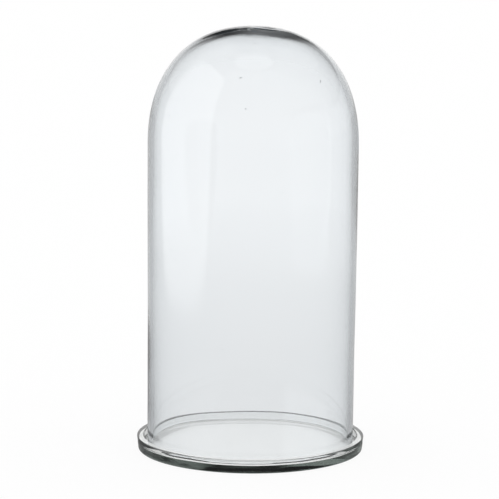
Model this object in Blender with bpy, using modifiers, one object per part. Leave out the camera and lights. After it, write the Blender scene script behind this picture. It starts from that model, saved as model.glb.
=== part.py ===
"""Glass cloche: a blown glass bell that stands loose in a shallow pressed glass dish.

Both pieces are turned about +Z. The origin is the centre of the dish's underside, on the table.
Metres throughout. Every size that can be set by itself is a named value below, and whatever fits
or lines up with another piece is worked out from the same values and a named clearance.
"""
from math import cos, pi, radians, sin, tau

import bpy

# Overall sizes
TOTAL_HEIGHT = 0.260            # table to the top of the crown, the bell standing in its dish
BELL_RADIUS = 0.0635            # outside of the bell's straight wall

# Bell
BELL_WALL = 0.0031              # the straight wall and the shoulder
CROWN_THICKNESS = 0.0037        # the glass left thick at the top, on the axis
SHOULDER_HEIGHT = 0.0725        # from where the straight wall ends to the top of the crown
CROWN_FULLNESS = 2.30           # superellipse power across the bell: 2 is a round shoulder, more is squarer
CROWN_FLATNESS = 2.25           # superellipse power up the bell: more is flatter on top
CROWN_GATHER = 6.0              # how tightly the thick glass is gathered round the axis
BELL_FOOT_ROUND = 0.0005        # fire-polished round on both edges of the bell's foot

# Dish
DISH_HEIGHT = 0.0082            # table to the top of the rim
DISH_FLOOR = 0.0042             # thickness of the floor that the bell stands on
RIM_WIDTH = 0.0042              # the rim's flat top, from its inner wall to its outer wall
RIM_INNER_ROUND = 0.0006        # round on the rim's inner top edge
RIM_OUTER_ROUND = 0.0005        # round on the rim's outer top edge
RIM_DRAFT = 0.0005              # how far the rim's inner wall opens from its fillet to its top
OUTER_DRAFT = 0.0008            # how far the outer wall draws in, from the rim down to the heel
RECESS_FILLET = 0.0015          # fillet between the floor and the rim's inner wall
HEEL_ROUND = 0.0008             # round on the dish's bottom edge

# Clearances
SEAT_GAP = 0.0003               # under the bell's foot, where glass rests on glass
BELL_CLEARANCE = 0.0018         # all round the bell's foot, to the foot of the rim's inner wall

# Facets
TURN_STEPS = 72
SHOULDER_POINTS = 15
ROUND_POINTS = 3
MERGE_DISTANCE = 0.00001

# Glass: colour seen through it, roughness and refractive index
BELL_GLASS = ((0.93, 0.95, 0.955, 1.0), 0.02, 1.50)
DISH_GLASS = ((0.88, 0.93, 0.905, 1.0), 0.04, 1.52)

BELL_FOOT_Z = DISH_FLOOR + SEAT_GAP
SHOULDER_Z = TOTAL_HEIGHT - SHOULDER_HEIGHT
RECESS_RADIUS = BELL_RADIUS + BELL_CLEARANCE
RIM_INNER_RADIUS = RECESS_RADIUS + RIM_DRAFT
RIM_RADIUS = RIM_INNER_RADIUS + RIM_WIDTH
HEEL_RADIUS = RIM_RADIUS - OUTER_DRAFT


def clear_scene():
    """Removes every object the file holds."""
    for item in list(bpy.data.objects):
        bpy.data.objects.remove(item, do_unlink=True)


def glass(name, finish):
    """A clear Principled material from a colour, a roughness and a refractive index."""
    colour, roughness, index = finish
    material = bpy.data.materials.new(name)
    material.use_nodes = True
    shader = material.node_tree.nodes["Principled BSDF"]
    shader.inputs["Base Color"].default_value = colour
    shader.inputs["Roughness"].default_value = roughness
    shader.inputs["Metallic"].default_value = 0.0
    shader.inputs["IOR"].default_value = index
    shader.inputs["Transmission Weight"].default_value = 1.0
    material.diffuse_color = colour
    return material


def arc(centre_x, centre_z, radius, start, end, points=ROUND_POINTS):
    """Points of an arc in the profile's plane, both ends included; angles in degrees from +X."""
    angles = [radians(start + (end - start) * i / points) for i in range(points + 1)]
    return [(centre_x + radius * cos(a), centre_z + radius * sin(a)) for a in angles]


def shoulder(angle):
    """A point of the bell's outer shoulder: angle 0 is the end of the wall, 90 degrees is the axis."""
    return (BELL_RADIUS * cos(angle) ** (2.0 / CROWN_FULLNESS),
            SHOULDER_Z + SHOULDER_HEIGHT * sin(angle) ** (2.0 / CROWN_FLATNESS))


def shoulder_normal(angle):
    """The unit vector square to the outer shoulder there, from the superellipse's own gradient."""
    across = cos(angle) ** (2.0 - 2.0 / CROWN_FULLNESS) * CROWN_FULLNESS / BELL_RADIUS
    up = sin(angle) ** (2.0 - 2.0 / CROWN_FLATNESS) * CROWN_FLATNESS / SHOULDER_HEIGHT
    length = (across * across + up * up) ** 0.5
    return across / length, up / length


def thickness(angle):
    """The glass there: the plain wall, growing to the thick crown close to the axis."""
    return BELL_WALL + (CROWN_THICKNESS - BELL_WALL) * sin(angle) ** CROWN_GATHER


def bell_profile():
    """The bell's section: down its outside from the axis, round its foot and up its inside."""
    angles = [0.5 * pi * i / SHOULDER_POINTS for i in range(SHOULDER_POINTS + 1)]
    outside = [shoulder(a) for a in reversed(angles[:-1])]
    inside = []
    for a in angles[:-1]:
        x, z = shoulder(a)
        normal_x, normal_z = shoulder_normal(a)
        inside.append((x - normal_x * thickness(a), z - normal_z * thickness(a)))
    round_z = BELL_FOOT_Z + BELL_FOOT_ROUND
    inner_radius = BELL_RADIUS - BELL_WALL
    foot = (arc(BELL_RADIUS - BELL_FOOT_ROUND, round_z, BELL_FOOT_ROUND, 0, -90)
            + arc(inner_radius + BELL_FOOT_ROUND, round_z, BELL_FOOT_ROUND, -90, -180))
    top = (0.0, TOTAL_HEIGHT)
    under_top = (0.0, TOTAL_HEIGHT - CROWN_THICKNESS)
    return [top] + outside + foot + inside + [under_top]


def dish_profile():
    """The dish's section: out along its floor, up and over the rim, down its outside and back under."""
    fillet = arc(RECESS_RADIUS - RECESS_FILLET, DISH_FLOOR + RECESS_FILLET, RECESS_FILLET, -90, 0)
    rim = (arc(RIM_INNER_RADIUS + RIM_INNER_ROUND, DISH_HEIGHT - RIM_INNER_ROUND, RIM_INNER_ROUND, 180, 90)
           + arc(RIM_RADIUS - RIM_OUTER_ROUND, DISH_HEIGHT - RIM_OUTER_ROUND, RIM_OUTER_ROUND, 90, 0))
    heel = arc(HEEL_RADIUS - HEEL_ROUND, HEEL_ROUND, HEEL_ROUND, 0, -90)
    return [(0.0, DISH_FLOOR)] + fillet + rim + heel + [(0.0, 0.0)]


def turned(name, profile, material, collection):
    """A solid made by turning an outline in the XZ plane once round the Z axis."""
    mesh = bpy.data.meshes.new(name)
    edges = [(i, i + 1) for i in range(len(profile) - 1)]
    mesh.from_pydata([(x, 0.0, z) for x, z in profile], edges, [])
    mesh.materials.append(material)
    piece = bpy.data.objects.new(name, mesh)
    collection.objects.link(piece)
    screw = piece.modifiers.new("turning", "SCREW")
    screw.axis = "Z"
    screw.angle = tau
    screw.screw_offset = 0.0
    screw.steps = TURN_STEPS
    screw.render_steps = TURN_STEPS
    screw.use_merge_vertices = True
    screw.merge_threshold = MERGE_DISTANCE
    screw.use_smooth_shade = True
    return piece


def build():
    """The dish on the table and the bell standing in it."""
    clear_scene()
    cloche = bpy.data.collections.new("glass_cloche")
    bpy.context.scene.collection.children.link(cloche)
    dish = turned("base_dish", dish_profile(), glass("dish_glass", DISH_GLASS), cloche)
    bell = turned("glass_dome", bell_profile(), glass("bell_glass", BELL_GLASS), cloche)
    return dish, bell


build()
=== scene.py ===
"""The looks of the glass cloche: a blown glass bell standing loose in a pressed glass dish.

Both pieces are made again here as fine turned surfaces, with the small unevenness of hand-blown and
pressed glass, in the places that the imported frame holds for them. Lengths are in metres.
"""
import logging
import math
from dataclasses import dataclass
from enum import Enum

import bpy
import numpy as np
from mathutils import Matrix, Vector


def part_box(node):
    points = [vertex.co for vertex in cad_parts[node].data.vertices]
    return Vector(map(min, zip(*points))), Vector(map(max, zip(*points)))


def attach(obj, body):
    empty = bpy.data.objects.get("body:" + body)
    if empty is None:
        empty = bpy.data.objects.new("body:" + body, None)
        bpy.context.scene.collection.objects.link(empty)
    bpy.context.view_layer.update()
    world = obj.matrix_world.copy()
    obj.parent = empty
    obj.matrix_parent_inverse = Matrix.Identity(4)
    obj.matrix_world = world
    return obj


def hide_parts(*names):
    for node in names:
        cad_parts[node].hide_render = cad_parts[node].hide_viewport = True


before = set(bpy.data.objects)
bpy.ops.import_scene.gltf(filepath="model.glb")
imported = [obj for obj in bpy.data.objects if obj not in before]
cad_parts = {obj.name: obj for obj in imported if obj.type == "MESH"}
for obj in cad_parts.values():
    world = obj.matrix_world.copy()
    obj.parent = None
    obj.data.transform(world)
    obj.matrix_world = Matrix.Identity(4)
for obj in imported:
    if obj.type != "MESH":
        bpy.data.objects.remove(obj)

LOG = logging.getLogger("cloche")
MM = 0.001
FULL_TURN = 2.0 * math.pi
QUARTER_TURN = 0.5 * math.pi
WHITE = (1.0, 1.0, 1.0, 1.0)

# the glass sends light on many times before it leaves
MAX_BOUNCES = 32
GLOSSY_BOUNCES = 24

# points of a seed's skin, and its size through the wall as a share of its width
SEED_ROWS = 9
SEED_COLUMNS = 12
SEED_DEPTH = 0.7


class Layer(Enum):
    """The two skins of a blown wall."""

    OUTSIDE = "outside"
    INSIDE = "inside"


class Slope(Enum):
    """How a value goes from one level to the next."""

    EVEN = "LINEAR"
    SOFT = "SMOOTHSTEP"


# ---------------------------------------------------------------- surfaces


@dataclass(frozen=True)
class Section:
    """Half of a turned piece's section: radius and height of each row, from pole to pole."""

    radius: np.ndarray
    height: np.ndarray

    def normals(self) -> tuple[np.ndarray, np.ndarray]:
        """The outward unit normals of the rows, square to the line through each row's neighbours.

        Returns:
            The normal's part along the radius and its part along the height.
        """
        along_r = np.gradient(self.radius)
        along_z = np.gradient(self.height)
        length = np.hypot(along_r, along_z)
        return -along_z / length, along_r / length


@dataclass(frozen=True)
class Sheet:
    """Vertices and triangles or quads of one closed surface."""

    points: np.ndarray
    faces: list

    @staticmethod
    def join(sheets: list["Sheet"]) -> "Sheet":
        """Several closed surfaces as one mesh's data.

        Args:
            sheets: The surfaces, the faces of each in blocks of equal corner counts.

        Returns:
            One surface whose faces are a plain list.
        """
        points, faces, start = [], [], 0
        for sheet in sheets:
            points.append(sheet.points)
            faces.extend((np.asarray(block) + start).tolist() for block in sheet.faces)
            start += len(sheet.points)
        return Sheet(np.concatenate(points), [face for block in faces for face in block])


@dataclass(frozen=True)
class Wave:
    """A low wave that making leaves round a turned piece.

    Its count round the piece, the phase that it gains from the foot to the top, its phase at the
    foot and its depth.
    """

    around: int
    twist: float
    phase: float
    depth: float


def columns_round(columns: int) -> np.ndarray:
    """The angles of a ring's points, on equal steps."""
    return np.arange(columns) * (FULL_TURN / columns)


def turn(section: Section, columns: int, lift: np.ndarray | None = None) -> Sheet:
    """Turns a section about the Z axis.

    Each row but the two poles becomes a ring: x = r cos a, y = r sin a, z = height, with the angle
    a on equal steps. A lift moves each point along its row's normal.

    Args:
        section: The rows, the first and the last of them on the axis.
        columns: Points in each ring.
        lift: Distance along the normal for each row and column, or None.

    Returns:
        The closed surface, facing away from the section's left side.
    """
    angle = columns_round(columns)
    normal_r, normal_z = section.normals()
    amount = np.zeros((len(section.radius), columns)) if lift is None else lift
    radius = section.radius[:, None] + amount * normal_r[:, None]
    height = section.height[:, None] + amount * normal_z[:, None]
    ring = np.stack([radius * np.cos(angle), radius * np.sin(angle), height], axis=2)[1:-1]
    first = [0.0, 0.0, height[0].mean()]
    last = [0.0, 0.0, height[-1].mean()]
    points = np.concatenate([[first], ring.reshape(-1, 3), [last]])
    rows = len(section.radius) - 2
    grid = 1 + np.arange(rows * columns).reshape(rows, columns)
    here, after = grid, np.roll(grid, -1, axis=1)
    quads = np.stack([here[:-1], here[1:], after[1:], after[:-1]], axis=2).reshape(-1, 4)
    top = np.stack([np.zeros(columns, int), here[0], after[0]], axis=1)
    end = len(points) - 1
    bottom = np.stack([np.full(columns, end), after[-1], here[-1]], axis=1)
    return Sheet(points, [quads, top, bottom])


def arc(centre: tuple[float, float], radius: float, start: float, end: float,
        count: int) -> np.ndarray:
    """An arc of a section: centre plus radius times (cos, sin) of angles on equal steps.

    Args:
        centre: The centre's distance from the axis and its height.
        radius: The arc's radius.
        start: First angle in degrees, from straight outwards.
        end: Last angle in degrees.
        count: Number of points.

    Returns:
        An array of rows (radius, height).
    """
    angle = np.radians(np.linspace(start, end, count))
    across, up = radius * np.cos(angle), radius * np.sin(angle)
    return np.stack([centre[0] + across, centre[1] + up], axis=1)


def straight(start: tuple[float, float], end: tuple[float, float], count: int) -> np.ndarray:
    """Points between two corners of a section, the corners left out."""
    share = np.linspace(0.0, 1.0, count + 2)[1:-1, None]
    return np.asarray(start) * (1.0 - share) + np.asarray(end) * share


def add_piece(name: str, sheet: Sheet, material: bpy.types.Material) -> bpy.types.Object:
    """Makes an object at the origin from a surface, shaded smooth.

    Args:
        name: The piece's name.
        sheet: Its points and faces.
        material: Its finish.

    Returns:
        The new object, linked to the scene.
    """
    mesh = bpy.data.meshes.new(name)
    mesh.from_pydata(sheet.points.tolist(), [], sheet.faces)
    mesh.shade_smooth()
    mesh.materials.append(material)
    mesh.update()
    piece = bpy.data.objects.new(name, mesh)
    bpy.context.scene.collection.objects.link(piece)
    return piece


# ---------------------------------------------------------------- nodes


Value = bpy.types.NodeSocket | float | tuple


@dataclass(frozen=True)
class Graph:
    """The nodes and links of one material or world. A value is a number or another's socket."""

    nodes: bpy.types.Nodes
    links: bpy.types.NodeLinks

    @staticmethod
    def of(owner: bpy.types.Material | bpy.types.World) -> "Graph":
        """The graph of a material or world, switched on."""
        owner.use_nodes = True
        return Graph(owner.node_tree.nodes, owner.node_tree.links)

    def add(self, kind: str) -> bpy.types.Node:
        """A new shader node, from the end of its type's name, such as Math."""
        return self.nodes.new("ShaderNode" + kind)

    def feed(self, node: bpy.types.Node, values: dict[int | str, Value]) -> bpy.types.Node:
        """Links or sets sockets of a node.

        Args:
            node: The node.
            values: The value for each socket's name or number.

        Returns:
            The same node.
        """
        for socket, value in values.items():
            if isinstance(value, bpy.types.NodeSocket):
                self.links.new(value, node.inputs[socket])
            else:
                node.inputs[socket].default_value = value
        return node

    def math(self, operation: str, *values: Value) -> bpy.types.NodeSocket:
        """Does a sum on numbers.

        Args:
            operation: The sum's kind, as Blender names it.
            values: What it works on, in order.

        Returns:
            The socket that holds the result.
        """
        node = self.add("Math")
        node.operation = operation
        return self.feed(node, dict(enumerate(values))).outputs[0]

    def vector(self, operation: str, *values: Value) -> bpy.types.Node:
        """Does a sum on vectors.

        Args:
            operation: The sum's kind, as Blender names it.
            values: What it works on, in order.

        Returns:
            The node, whose first socket holds a vector, and Value a number.
        """
        node = self.add("VectorMath")
        node.operation = operation
        return self.feed(node, dict(enumerate(values)))

    def ranged(self, value: Value, start: float, end: float, low: Value = 0.0, high: Value = 1.0,
               slope: Slope = Slope.EVEN) -> bpy.types.NodeSocket:
        """A value carried over from one range to another, and held at the ends.

        Args:
            value: The value.
            start: Where the change starts.
            end: Where it ends.
            low: The result up to the start.
            high: The result from the end on.
            slope: How the result goes from low to high.

        Returns:
            The socket that holds the result.
        """
        node = self.add("MapRange")
        node.interpolation_type = slope.value
        self.feed(node, {"Value": value, "From Min": start, "From Max": end,
                         "To Min": low, "To Max": high})
        return node.outputs["Result"]

    def mix(self, share: Value, first: Value, second: Value) -> bpy.types.NodeSocket:
        """Mixes two values.

        Args:
            share: How much of the second value, from 0 to 1.
            first: The first value.
            second: The second value.

        Returns:
            The socket that holds the result.
        """
        node = self.add("Mix")
        node.data_type = "FLOAT"
        return self.feed(node, {"Factor": share, "A": first, "B": second}).outputs["Result"]

    def ramp(self, value: bpy.types.NodeSocket,
             stops: tuple[tuple[float, float], ...]) -> bpy.types.NodeSocket:
        """A level that follows a value from stop to stop.

        Args:
            value: The value, from 0 to 1.
            stops: Pairs of a value and its level, in order.

        Returns:
            The socket that holds the level.
        """
        node = self.feed(self.add("ValToRGB"), {"Fac": value})
        elements = node.color_ramp.elements
        for number, (where, level) in enumerate(stops):
            # a new ramp has two stops already
            stop = elements[number] if number < 2 else elements.new(where)
            stop.position = where
            stop.color = (level, level, level, 1.0)
        return node.outputs["Color"]

    def path(self, fact: str) -> bpy.types.NodeSocket:
        """A fact about the light's path so far, such as Is Camera Ray."""
        return self.add("LightPath").outputs[fact]

    def turned_back(self) -> bpy.types.NodeSocket:
        """A value that is 1 for light that glass has reflected at least once, and else 0."""
        return self.math("MINIMUM", self.path("Glossy Depth"), 1.0)

    def axes(self, vector: bpy.types.NodeSocket) -> bpy.types.NodeOutputs:
        """The X, Y and Z sockets of a vector."""
        return self.feed(self.add("SeparateXYZ"), {0: vector}).outputs


# ---------------------------------------------------------------- finishes


@dataclass(frozen=True)
class Glass:
    """Clear glass: a smooth refracting skin over a body that takes up a little light.

    The skin's roughness wanders with a broad noise and its bump has a slow ripple, so that
    reflections are not ruler straight. The body's tint comes from absorption over the path through
    the glass.
    """

    name: str
    index: float
    tint: tuple[float, float, float]
    density: float
    polish: tuple[float, float]
    ripple_size: float
    ripple_depth: float
    ripple_detail: float = 2.0

    def make(self) -> bpy.types.Material:
        """Builds the node material.

        Returns:
            The material.
        """
        material = bpy.data.materials.new(self.name)
        graph = Graph.of(material)
        place = graph.add("TexCoord").outputs["Object"]
        wander = graph.feed(graph.add("TexNoise"), {
            "Vector": place, "Scale": 1.0 / self.ripple_size, "Detail": self.ripple_detail,
        }).outputs["Fac"]
        ripple = graph.feed(graph.add("Bump"), {
            "Strength": 1.0, "Distance": self.ripple_depth, "Height": wander,
        }).outputs["Normal"]
        graph.feed(graph.nodes["Principled BSDF"], {
            "Base Color": WHITE,
            "IOR": self.index,
            "Transmission Weight": 1.0,
            "Roughness": graph.ranged(wander, 0.0, 1.0, *self.polish),
            "Normal": ripple,
        })
        body = graph.feed(graph.add("VolumeAbsorption"), {
            "Color": (*self.tint, 1.0), "Density": self.density,
        })
        graph.feed(graph.nodes["Material Output"], {"Volume": body.outputs["Volume"]})
        return material


BELL_GLASS = Glass("bell_glass", index=1.50, tint=(0.64, 0.77, 0.86), density=36.0,
                   polish=(0.0, 0.004), ripple_size=30 * MM, ripple_depth=0.005 * MM)
DISH_GLASS = Glass("dish_glass", index=1.52, tint=(0.30, 0.38, 0.34), density=17.0,
                   polish=(0.0, 0.01), ripple_size=20 * MM, ripple_depth=0.005 * MM)


# ---------------------------------------------------------------- pieces


@dataclass(frozen=True)
class Seed:
    """A small bubble drawn long in the glass.

    Its place round the bell in degrees and its height, its length and width, and its slant from
    upright in degrees.
    """

    around: float
    height: float
    length: float
    width: float
    slant: float

    def cavity(self, centre: np.ndarray, outward: np.ndarray) -> Sheet:
        """The bubble's skin, facing into the bubble, away from the glass.

        An ellipsoid: centre + a * long axis * cos u + (b * side * cos v + c * outward * sin v) *
        sin u, where the long axis lies along the wall, slanted from upright, and c is less than b.

        Args:
            centre: The bubble's middle.
            outward: The unit normal of the wall there.

        Returns:
            The closed surface.
        """
        polar = np.linspace(0.0, math.pi, SEED_ROWS)
        ball = turn(Section(np.sin(polar), np.cos(polar)), SEED_COLUMNS)
        level = np.cross([0.0, 0.0, 1.0], outward)
        level /= np.linalg.norm(level)
        upright = np.cross(outward, level)
        slant = math.radians(self.slant)
        long_axis = math.cos(slant) * upright + math.sin(slant) * level
        side = np.cross(outward, long_axis)
        scaled = ball.points * 0.5 * np.array([self.width, SEED_DEPTH * self.width, self.length])
        points = centre + scaled @ np.stack([side, outward, long_axis])
        return Sheet(points, [np.asarray(block)[:, ::-1] for block in ball.faces])


@dataclass
class Bell:
    """The blown bell: straight wall, full shoulder, crown thick on the axis, polished foot."""

    wall: float = 3.1 * MM
    crown: float = 3.7 * MM
    shoulder: float = 72.5 * MM
    fullness: float = 2.30
    flatness: float = 2.25
    gather: float = 6.0
    foot_round: float = 0.5 * MM
    lean: float = 1.2 * MM
    lean_height: float = 0.66
    swirl_height: float = 0.07 * MM
    swirl_pitch: float = 9.0 * MM
    swirl_reach: float = 18.0 * MM
    swirl_aside: float = 8.0 * MM
    swirl_back: float = 2.0 * MM
    waves: tuple[Wave, ...] = (
        Wave(2, FULL_TURN * 1.3, 0.4, 0.10 * MM),
        Wave(3, FULL_TURN * 2.1, 1.9, 0.05 * MM),
        Wave(5, FULL_TURN * 3.7, 4.0, 0.03 * MM),
        Wave(1, FULL_TURN * 5.2, 2.5, 0.04 * MM),
    )
    wave_share: float = 0.6
    inside_phase: float = 1.7
    foot_fade: float = 0.06
    axis_fade: float = 0.3
    columns: int = 240
    shoulder_rows: int = 110
    wall_rows: int = 36
    foot_rows: int = 7
    foot_clear: int = 12
    seeds: tuple[Seed, ...] = (
        Seed(-98.5, 233.4 * MM, 1.9 * MM, 0.6 * MM, 84.0),
        Seed(-43.4, 230.2 * MM, 2.2 * MM, 0.6 * MM, 28.0),
        Seed(-94.4, 215.8 * MM, 0.9 * MM, 0.6 * MM, 10.0),
        Seed(-89.0, 252.4 * MM, 2.0 * MM, 0.4 * MM, 90.0),
        Seed(-25.4, 80.9 * MM, 1.3 * MM, 0.5 * MM, -10.0),
        Seed(-139.8, 129.3 * MM, 0.9 * MM, 0.5 * MM, 15.0),
        Seed(-63.9, 191.4 * MM, 0.8 * MM, 0.4 * MM, 40.0),
        Seed(-118.2, 44.6 * MM, 1.0 * MM, 0.4 * MM, 5.0),
        Seed(-105.5, 72.9 * MM, 0.7 * MM, 0.5 * MM, -30.0),
        Seed(72.0, 151.0 * MM, 1.1 * MM, 0.5 * MM, 12.0),
        Seed(118.0, 96.0 * MM, 0.9 * MM, 0.4 * MM, -20.0),
        Seed(151.0, 203.0 * MM, 1.4 * MM, 0.5 * MM, 35.0),
        Seed(35.0, 58.0 * MM, 0.8 * MM, 0.5 * MM, 0.0),
        Seed(4.0, 170.0 * MM, 1.2 * MM, 0.5 * MM, 8.0),
    )

    def __post_init__(self) -> None:
        """Takes the overall sizes from the frame."""
        low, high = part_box("glass_dome")
        self.radius = 0.5 * (high[0] - low[0])
        self.top = high[2]
        self.foot = low[2]
        self.shoulder_z = self.top - self.shoulder

    def skin(self, layer: Layer, angle: np.ndarray) -> np.ndarray:
        """The shoulder's section, a superellipse, or the line inside it.

        The outer line is r = R cos(a)^(2/p), z = z0 + H sin(a)^(2/q). The inner line lies the
        glass's thickness inside it along its normal: the wall, plus the crown's extra times
        sin(a)^g.

        Args:
            layer: The outer or the inner skin.
            angle: 0 at the end of the straight wall, a quarter turn on the axis.

        Returns:
            An array of rows (radius, height).
        """
        cosine, sine = np.cos(angle), np.sin(angle)
        cosine = np.maximum(cosine, 0.0)
        radius = self.radius * cosine ** (2.0 / self.fullness)
        height = self.shoulder_z + self.shoulder * sine ** (2.0 / self.flatness)
        if layer is Layer.OUTSIDE:
            return np.stack([radius, height], axis=1)
        across = cosine ** (2.0 - 2.0 / self.fullness) * self.fullness / self.radius
        up = sine ** (2.0 - 2.0 / self.flatness) * self.flatness / self.shoulder
        length = np.hypot(across, up)
        depth = self.wall + (self.crown - self.wall) * sine ** self.gather
        return np.stack([radius - depth * across / length, height - depth * up / length], axis=1)

    def section(self) -> Section:
        """The whole section: down the outside from the axis, round the foot, up the inside.

        Returns:
            The section's rows.
        """
        # the rows crowd together towards the axis, where the crown's swirl needs them
        angle = QUARTER_TURN * np.sin(np.linspace(0.0, QUARTER_TURN, self.shoulder_rows))
        inner = self.radius - self.wall
        round_z = self.foot + self.foot_round
        rows = np.concatenate([
            self.skin(Layer.OUTSIDE, angle[::-1]),
            straight((self.radius, self.shoulder_z), (self.radius, round_z), self.wall_rows),
            arc((self.radius - self.foot_round, round_z), self.foot_round, 0, -90, self.foot_rows),
            arc((inner + self.foot_round, round_z), self.foot_round, -90, -180, self.foot_rows),
            straight((inner, round_z), (inner, self.shoulder_z), self.wall_rows),
            self.skin(Layer.INSIDE, angle),
        ])
        rows[[0, -1], 0] = 0.0
        return Section(rows[:, 0], rows[:, 1])

    def unevenness(self, section: Section) -> np.ndarray:
        """How far blowing leaves each point off the true form.

        Each wave is its depth times the cosine of (its count round times the angle, plus its twist
        times the share of the height, plus its phase), with another phase on the inside. They fade
        out at the foot and on the axis. The swirl is added to the outside.

        Args:
            section: The true section.

        Returns:
            The distance along the normal for each row and column.
        """
        angle = columns_round(self.columns)
        rows = len(section.radius)
        half = rows // 2
        lift = np.zeros((rows, self.columns))
        share = (section.height - self.foot) / (self.top - self.foot)
        for wave in self.waves:
            turned = wave.around * angle[None, :] + wave.twist * share[:, None]
            lift[:half] += wave.depth * np.cos(turned + wave.phase)[:half]
            lift[half:] += wave.depth * np.cos(turned - self.inside_phase * wave.phase)[half:]
        foot_fade = np.clip(share / self.foot_fade, 0.0, 1.0)
        axis_fade = np.clip(section.radius / (self.axis_fade * self.radius), 0.0, 1.0)
        lift *= (foot_fade * axis_fade)[:, None] * self.wave_share
        lift[:half] += self.swirl(section, angle)[:half]
        return lift

    def swirl(self, section: Section, angle: np.ndarray) -> np.ndarray:
        """The mark on the crown where the gather was cut off: a low spiral ridge beside the axis.

        With d and b the distance and bearing from the mark's own centre, its height is
        A * cos(2 pi d / pitch - b) * exp(-((d - w) / w)^2), with w half of the mark's reach.

        Args:
            section: The true section.
            angle: The angle of each column.

        Returns:
            The ridge's height for each row and column.
        """
        east = section.radius[:, None] * np.cos(angle) - self.swirl_aside
        north = section.radius[:, None] * np.sin(angle) - self.swirl_back
        away = np.hypot(east, north)
        bearing = np.arctan2(north, east)
        shape = np.cos(FULL_TURN * away / self.swirl_pitch - bearing)
        middle = 0.5 * self.swirl_reach
        return self.swirl_height * shape * np.exp(-((away - middle) / middle) ** 2)

    def seed_sheets(self, section: Section) -> list[Sheet]:
        """The skins of all the seeds, each in the middle of the wall.

        Args:
            section: The true section.

        Returns:
            One closed surface for each seed.
        """
        half = len(section.radius) // 2
        normal_r, normal_z = section.normals()
        # the outside only, from a little above the foot up to the axis
        rows = slice(half - self.foot_clear, 0, -1)
        sheets = []
        for seed in self.seeds:
            radius, across, up = (np.interp(seed.height, section.height[rows], values[rows])
                                  for values in (section.radius, normal_r, normal_z))
            turned = math.radians(seed.around)
            round_about = np.array([math.cos(turned), math.sin(turned)])
            outward = np.array([*(across * round_about), up])
            outward /= np.linalg.norm(outward)
            skin = np.array([*(radius * round_about), seed.height])
            sheets.append(seed.cavity(skin - 0.5 * self.wall * outward, outward))
        return sheets

    def leaning(self, points: np.ndarray) -> np.ndarray:
        """The points with the bell's slight lean: the right side is pushed out, more so higher up.

        x grows by lean * s * (1 + x / R) / 2, where s goes smoothly from 0 at the foot to 1 at the
        lean height, which is a share of the bell's height.

        Args:
            points: The bell's points.

        Returns:
            The moved points.
        """
        full = self.lean_height * (self.top - self.foot)
        share = np.clip((points[:, 2] - self.foot) / full, 0.0, 1.0)
        smooth = self.lean * share * share * (3.0 - 2.0 * share)
        push = smooth * 0.5 * (1.0 + points[:, 0] / self.radius)
        return points + np.stack([push, np.zeros_like(push), np.zeros_like(push)], axis=1)

    def build(self) -> bpy.types.Object:
        """Makes the bell.

        Returns:
            Its object.
        """
        section = self.section()
        skin = turn(section, self.columns, self.unevenness(section))
        sheet = Sheet.join([skin, *self.seed_sheets(section)])
        leaning = Sheet(self.leaning(sheet.points), sheet.faces)
        piece = add_piece("bell", leaning, BELL_GLASS.make())
        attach(piece, "dome")
        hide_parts("glass_dome")
        return piece


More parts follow.
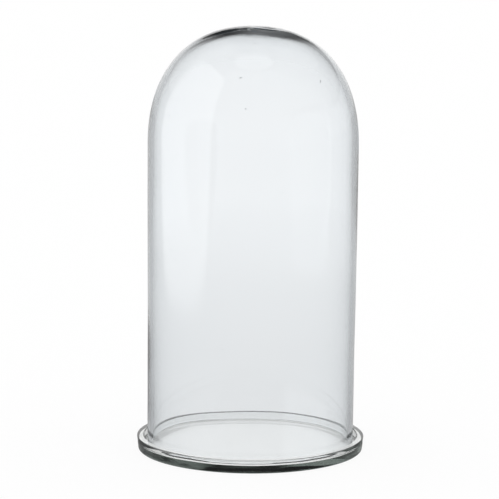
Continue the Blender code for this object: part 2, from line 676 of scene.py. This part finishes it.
@dataclass
class Dish:
    """The pressed dish: flat floor, raised rim with rounded edges, side drawn in to the heel."""

    floor: float = 4.2 * MM
    recess_radius: float = 65.3 * MM
    rim_width: float = 4.2 * MM
    rim_inner_round: float = 0.6 * MM
    rim_outer_round: float = 0.5 * MM
    outer_draft: float = 0.8 * MM
    fillet: float = 1.5 * MM
    heel_round: float = 0.8 * MM
    waves: tuple[Wave, ...] = (
        Wave(3, 0.0, 0.7, 0.10 * MM),
        Wave(7, 2.0, 2.1, 0.05 * MM),
        Wave(16, 5.0, 0.3, 0.02 * MM),
    )
    fade_start: float = 0.93
    fade_length: float = 0.07
    low_fade: float = 0.4
    columns: int = 288
    flat_rows: int = 40
    inner_rows: int = 10
    draft_rows: int = 6
    rim_rows: int = 5
    round_rows: int = 12
    side_rows: int = 10

    def __post_init__(self) -> None:
        """Takes the overall sizes from the frame."""
        low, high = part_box("base_dish")
        self.radius = 0.5 * (high[0] - low[0])
        self.top = high[2]

    def section(self) -> Section:
        """The whole section: along the floor, over the rim, down the outside, back under.

        Returns:
            The section's rows.
        """
        inner = self.radius - self.rim_width
        flat = self.recess_radius - self.fillet
        fillet_top = self.floor + self.fillet
        inner_centre = (inner + self.rim_inner_round, self.top - self.rim_inner_round)
        outer_centre = (self.radius - self.rim_outer_round, self.top - self.rim_outer_round)
        heel = self.radius - self.outer_draft
        under = heel - self.heel_round
        rows = np.concatenate([
            [(0.0, self.floor)],
            straight((0.0, self.floor), (flat, self.floor), self.flat_rows),
            arc((flat, fillet_top), self.fillet, -90, 0, self.inner_rows),
            straight((self.recess_radius, fillet_top), (inner, inner_centre[1]), self.draft_rows),
            arc(inner_centre, self.rim_inner_round, 180, 90, self.inner_rows),
            straight((inner_centre[0], self.top), (outer_centre[0], self.top), self.rim_rows),
            arc(outer_centre, self.rim_outer_round, 90, 0, self.round_rows),
            straight((self.radius, outer_centre[1]), (heel, self.heel_round), self.side_rows),
            arc((under, self.heel_round), self.heel_round, 0, -90, self.round_rows),
            straight((under, 0.0), (0.0, 0.0), self.flat_rows),
            [(0.0, 0.0)],
        ])
        return Section(rows[:, 0], rows[:, 1])

    def unevenness(self, section: Section) -> np.ndarray:
        """How far pressing leaves the rim and the side off the true form.

        Each wave is its depth times the cosine of (its count round times the angle, plus its twist
        times the share of the height, plus its phase). They fade out over the flat floor and
        towards the underside.

        Args:
            section: The true section.

        Returns:
            The distance along the normal for each row and column.
        """
        angle = columns_round(self.columns)
        lift = np.zeros((len(section.radius), self.columns))
        for wave in self.waves:
            twist = wave.twist * section.height[:, None] / self.top
            lift += wave.depth * np.cos(wave.around * angle + twist + wave.phase)
        start = self.fade_start * self.recess_radius
        length = self.fade_length * self.recess_radius
        share = np.clip((section.radius - start) / length, 0.0, 1.0)
        above = np.clip(section.height / (self.low_fade * self.top), 0.0, 1.0)
        return lift * (share * above)[:, None]

    def build(self) -> bpy.types.Object:
        """Makes the dish.

        Returns:
            Its object.
        """
        section = self.section()
        sheet = turn(section, self.columns, self.unevenness(section))
        piece = add_piece("dish", Sheet.join([sheet]), DISH_GLASS.make())
        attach(piece, "dish")
        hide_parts("base_dish")
        return piece


# ---------------------------------------------------------------- studio


@dataclass(frozen=True)
class SoftBox:
    """A glowing card with soft, rounded edges, seen only by light that the glass has reflected.

    Its name, its four corners, its glow with 1 being white, and how much of the glow shows in the
    outer skin's own reflection. With x and y from -1 to 1 across the card and p the edge's power,
    the glow falls off where |x|^p + |y|^p goes from the edge's start to 1.
    """

    name: str
    corners: list
    level: float
    front_share: float = 1.0
    edge_power: float = 6.0
    edge_start: float = 0.55

    @staticmethod
    def standing(azimuth: float, distance: float, width: float, height: float) -> list:
        """The corners of an upright card that stands on the floor and faces the cloche.

        Args:
            azimuth: Its direction in degrees, 0 towards the camera, positive to the right.
            distance: Its distance from the axis.
            width: Its width.
            height: Its height.

        Returns:
            Four corners.
        """
        turned = math.radians(azimuth)
        outward = np.array([math.sin(turned), -math.cos(turned)])
        side = np.array([outward[1], -outward[0]]) * 0.5 * width
        middle = outward * distance
        left, right = middle - side, middle + side
        return [(*left, 0.0), (*right, 0.0), (*right, height), (*left, height)]

    @staticmethod
    def lying(front: float, back: float, width: float, height: float) -> list:
        """The corners of a level card overhead.

        Args:
            front: The near edge's distance behind the cloche, negative in front of it.
            back: The far edge's distance behind the cloche.
            width: Its width.
            height: Its height.

        Returns:
            Four corners.
        """
        half = 0.5 * width
        edge = ((-half, front), (half, front), (half, back), (-half, back))
        return [(x, y, height) for x, y in edge]

    def build(self) -> None:
        """Sets up the card."""
        mesh = bpy.data.meshes.new(self.name)
        mesh.from_pydata(self.corners, [], [(0, 1, 2, 3)])
        layer = mesh.uv_layers.new(name="card")
        layer.data.foreach_set("uv", np.array([0, 0, 1, 0, 1, 1, 0, 1], dtype=np.float32))
        material = bpy.data.materials.new(self.name)
        graph = Graph.of(material)
        graph.nodes.clear()
        card_map = graph.add("UVMap")
        card_map.uv_map = layer.name
        # from the card's own UV to -1 at one edge and 1 at the other
        centred = graph.feed(graph.add("Mapping"), {
            0: card_map.outputs[0],
            "Location": (-1.0, -1.0, 0.0),
            "Scale": (2.0, 2.0, 1.0),
        })
        aside = graph.vector("ABSOLUTE", centred.outputs[0])
        raised = graph.vector("POWER", aside.outputs[0], (self.edge_power,) * 3)
        total = graph.vector("DOT_PRODUCT", raised.outputs[0], (1.0, 1.0, 0.0))
        edge = graph.ranged(total.outputs["Value"], self.edge_start, 1.0, 1.0, 0.0, Slope.SOFT)
        front = graph.mix(graph.path("Is Transmission Ray"), self.front_share, 1.0)
        glossy = graph.math("MULTIPLY", front, graph.turned_back())
        glow = graph.feed(graph.add("Emission"), {"Strength": self.level})
        card = graph.feed(graph.add("MixShader"), {
            0: graph.math("MULTIPLY", edge, glossy),
            1: graph.add("BsdfTransparent").outputs[0],
            2: glow.outputs[0],
        })
        graph.feed(graph.add("OutputMaterial"), {"Surface": card.outputs[0]})
        mesh.materials.append(material)
        box = bpy.data.objects.new(self.name, mesh)
        bpy.context.scene.collection.objects.link(box)
        box.visible_diffuse = False
        box.visible_shadow = False


@dataclass
class Studio:
    """White surroundings up to a dark ceiling, a pale floor, and three soft boxes.

    A level is a brightness, 1 being white. Through is for light that only passed through glass,
    front for light last reflected by a skin on its way to the eye, skimmed for such light at a
    glancing angle, wall and floor for light turned back inside the glass, and trapped for light
    turned back many times.
    """

    floor_size: float = 40.0
    floor_drop: float = 0.3 * MM
    floor_white: float = 0.9
    floor_colour: tuple[float, float, float, float] = (0.98, 0.98, 0.98, 1.0)
    floor_roughness: float = 0.9
    through_level: float = 1.0
    front_level: float = 0.25
    skimmed_level: float = 0.9
    floor_skimmed_level: float = 0.6
    skim_radius: float = 70.0 * MM
    skim_near: float = 8.0 * MM
    skim_far: float = 14.0 * MM
    behind_start: float = 0.80
    behind_full: float = 0.97
    few_turns: float = 1.0
    many_turns: float = 2.5
    trapped_level: float = 0.02
    trapped_reach: float = 2.0
    trapped_levels: tuple[tuple[float, float], ...] = (
        (0.10, 0.02), (0.18, 0.35), (0.75, 0.35), (1.1, 0.02),
    )
    wall_level: float = 0.90
    floor_level: float = 0.80
    # painted light: under the dish the floor seen in the glass is brighter, a painted pool of light
    painted_pool_level: float = 1.33
    under: float = 0.068
    under_fade: float = 1.2
    # painted shade: the floor seen in the glass is darker near the cloche, from near out to far
    painted_shade_level: float = 0.87
    near: float = 0.3
    far: float = 1.1
    ceiling_start: float = 0.265
    ceiling_full: float = 0.295
    ceiling_front: float = 0.4
    mirrored_drop: float = 0.01
    skin_drop: float = 0.06
    wall_skins: float = 2.0
    skin_margin: float = 0.5
    ceiling_levels: tuple[tuple[float, float], ...] = (
        (0.36, 0.65), (0.42, 0.04), (0.47, 0.06), (0.52, 0.18), (0.56, 0.11), (0.60, 0.05),
        (0.66, 0.5),
    )

    def surroundings(self, graph: Graph, turned_level: float, behind: bpy.types.NodeSocket,
                     back: bpy.types.NodeSocket | None = None) -> bpy.types.NodeSocket:
        """How bright the white surroundings are for each kind of light path.

        The through level for light that only passed through glass, the front level for light last
        reflected by a glass skin on its way to the eye, and the turned level for light turned back
        inside the glass before it left, which falls to the trapped level with more turns. A skin
        seen at a glancing angle mirrors what lies behind it, so the front level grows to the
        skimmed level straight behind. On the floor the skimmed level is lower, and the trapped
        level follows the place, because light trapped in the dish's slab lands close by, the
        wall's farther back and the crown's far away.

        Args:
            graph: The graph of the floor's material or the world.
            turned_level: The turned level.
            behind: How far backwards the light goes, 1 being straight behind.
            back: On the floor, how far behind the axis the place lies, and for the world None.

        Returns:
            The socket that holds the brightness.
        """
        trapped, skimmed_level = self.trapped_level, self.skimmed_level
        if back is not None:
            reach = self.trapped_reach
            stops = tuple((where / reach, level) for where, level in self.trapped_levels)
            trapped = graph.ramp(graph.math("DIVIDE", back, reach), stops)
            skimmed_level = self.floor_skimmed_level
        turned = graph.ranged(graph.path("Glossy Depth"), self.few_turns, self.many_turns,
                              turned_level, trapped, Slope.SOFT)
        skimmed = graph.ranged(behind, self.behind_start, self.behind_full,
                               self.front_level, skimmed_level, Slope.SOFT)
        reflected = graph.mix(graph.path("Is Transmission Ray"), skimmed, turned)
        return graph.mix(graph.turned_back(), self.through_level, reflected)

    def world(self) -> None:
        """Sets the world: white, with a dark ceiling behind that only the glass shows."""
        world = bpy.data.worlds.new("studio")
        bpy.context.scene.world = world
        graph = Graph.of(world)
        way = graph.axes(graph.add("TexCoord").outputs["Generated"])
        # mirrored light meets the ceiling's edge lower than light that only passes through, and
        # lowest where it was mirrored inside one wall, so that it crossed two skins
        crossed = graph.path("Transmission Depth")
        one_wall = graph.math("COMPARE", crossed, self.wall_skins, self.skin_margin)
        drop = graph.mix(one_wall, self.mirrored_drop, self.skin_drop)
        raised = graph.math("MULTIPLY_ADD", drop, graph.turned_back(), way["Z"])
        height = graph.ranged(raised, self.ceiling_start, self.ceiling_full, slope=Slope.SOFT)
        behind = graph.ranged(way["Y"], 0.0, self.ceiling_front)
        passed, mirrored = graph.path("Is Transmission Ray"), graph.path("Is Glossy Ray")
        glass = graph.math("MAXIMUM", passed, mirrored)
        dark = graph.math("MULTIPLY", graph.math("MULTIPLY", height, behind), glass)
        # the ceiling is dark straight behind, with a lighter stretch in that, and lighter at the
        # sides, from 0 at the far left to 1 at the far right
        across = graph.math("MULTIPLY_ADD", way["X"], 0.5, 0.5)
        ceiling = graph.ramp(across, self.ceiling_levels)
        level = graph.mix(dark, self.surroundings(graph, self.wall_level, way["Y"]), ceiling)
        # light that has touched no glass, and light that the floor sends on, meets plain white
        shown = graph.mix(glass, 1.0, level)
        graph.feed(graph.nodes["Background"], {"Color": WHITE, "Strength": shown})

    def floor_behind(self, graph: Graph, place: bpy.types.NodeOutputs) -> bpy.types.NodeSocket:
        """How far backwards light goes that skimmed a side of the glass and lands on the floor.

        It is the y part of the direction from the side's tangent point, which lies at (skim radius,
        0), to the place on the floor. It fades to 0 close to the dish, where the floor is in its
        shadow.

        Args:
            graph: The graph of the floor's material.
            place: The X, Y and Z sockets of the place on the floor.

        Returns:
            The socket that holds the value, 1 being straight behind.
        """
        beside = graph.math("SUBTRACT", graph.math("ABSOLUTE", place["X"]), self.skim_radius)
        way = graph.feed(graph.add("CombineXYZ"), {"X": beside, "Y": place["Y"]}).outputs[0]
        backwards = graph.axes(graph.vector("NORMALIZE", way).outputs[0])["Y"]
        clear = graph.ranged(place["Y"], self.skim_near, self.skim_far)
        return graph.math("MULTIPLY", backwards, clear)

    def floor(self) -> None:
        """Lays the pale floor: mostly white by itself, the rest lit, so it keeps the shadow. Seen
        in the glass, it carries a painted pool of light under the dish and painted shade near the
        cloche.
        """
        half = 0.5 * self.floor_size
        corners = [(-half, -half), (half, -half), (half, half), (-half, half)]
        mesh = bpy.data.meshes.new("floor")
        mesh.from_pydata([(x, y, -self.floor_drop) for x, y in corners], [], [(0, 1, 2, 3)])
        material = bpy.data.materials.new("pale_floor")
        graph = Graph.of(material)
        spot = graph.add("TexCoord").outputs["Object"]
        away = graph.vector("LENGTH", spot).outputs["Value"]
        place = graph.axes(spot)
        # painted shade: near the cloche the floor seen in the glass is darker
        fade = graph.ranged(away, self.near, self.far, self.painted_shade_level, 1.0)
        # painted light: the floor right under the dish, as seen in the glass, is brighter, a
        # painted pool of the light that the dish would gather there
        under_end = self.under_fade * self.under
        inside = graph.ranged(away, self.under, under_end, self.painted_pool_level, 1.0)
        painted_light_and_shade = graph.math("MULTIPLY", inside, fade)
        behind = self.floor_behind(graph, place)
        surroundings = self.surroundings(graph, self.floor_level, behind, place["Y"])
        dimmed = graph.math("MULTIPLY", surroundings, painted_light_and_shade)
        level = graph.mix(graph.path("Is Camera Ray"), dimmed, 1.0)
        white = graph.feed(graph.add("Emission"), {"Strength": level})
        lit = graph.feed(graph.nodes["Principled BSDF"], {
            "Base Color": self.floor_colour,
            "Roughness": self.floor_roughness,
            "Specular IOR Level": 0.0,
        })
        mix = graph.feed(graph.add("MixShader"), {
            0: graph.math("MAXIMUM", self.floor_white, graph.turned_back()),
            1: lit.outputs[0],
            2: white.outputs[0],
        })
        graph.feed(graph.nodes["Material Output"], {"Surface": mix.outputs[0]})
        mesh.materials.append(material)
        floor = bpy.data.objects.new("floor", mesh)
        bpy.context.scene.collection.objects.link(floor)

    def build(self) -> None:
        """Sets up the whole studio."""
        self.world()
        self.floor()
        left = SoftBox.standing(azimuth=-78.5, distance=0.48, width=0.70, height=0.91)
        right = SoftBox.standing(azimuth=67.0, distance=0.80, width=0.71, height=0.55)
        overhead = SoftBox.lying(front=-0.35, back=1.3, width=2.4, height=1.2)
        SoftBox("left_softbox", left, level=1.1).build()
        SoftBox("right_softbox", right, level=0.40).build()
        SoftBox("overhead_softbox", overhead, level=0.7, front_share=0.15).build()


@dataclass
class Viewpoint:
    """The camera, where the photograph was taken from. Pitch, downwards, and roll in degrees."""

    distance: float = 1.460
    height: float = 0.349
    aside: float = -0.0012
    pitch: float = 8.777
    roll: float = 0.4
    focal_pixels: float = 2414.0
    image_pixels: float = 499.0
    sensor: float = 36.0
    nearest: float = 0.01

    def build(self) -> None:
        """Makes the camera and gives it to the scene."""
        data = bpy.data.cameras.new("viewpoint")
        data.sensor_width = self.sensor
        data.lens = self.sensor * self.focal_pixels / self.image_pixels
        data.clip_start = self.nearest
        camera = bpy.data.objects.new("viewpoint", data)
        place = Matrix.Translation((self.aside, -self.distance, self.height))
        tilt = Matrix.Rotation(math.radians(90.0 - self.pitch), 4, "X")
        roll = Matrix.Rotation(math.radians(self.roll), 4, "Z")
        camera.matrix_world = place @ tilt @ roll
        bpy.context.scene.collection.objects.link(camera)
        bpy.context.scene.camera = camera


def main() -> None:
    """Builds the studio, the camera and the two pieces."""
    logging.basicConfig(level=logging.INFO, format="%(name)s: %(message)s")
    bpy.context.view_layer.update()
    scene = bpy.context.scene
    scene.view_settings.view_transform = "Standard"
    scene.cycles.max_bounces = MAX_BOUNCES
    scene.cycles.glossy_bounces = GLOSSY_BOUNCES
    scene.cycles.transmission_bounces = MAX_BOUNCES
    Viewpoint().build()
    Studio().build()
    for piece in (Dish().build(), Bell().build()):
        LOG.info("%s: %d faces", piece.name, len(piece.data.polygons))


if __name__ == "__main__":
    main()
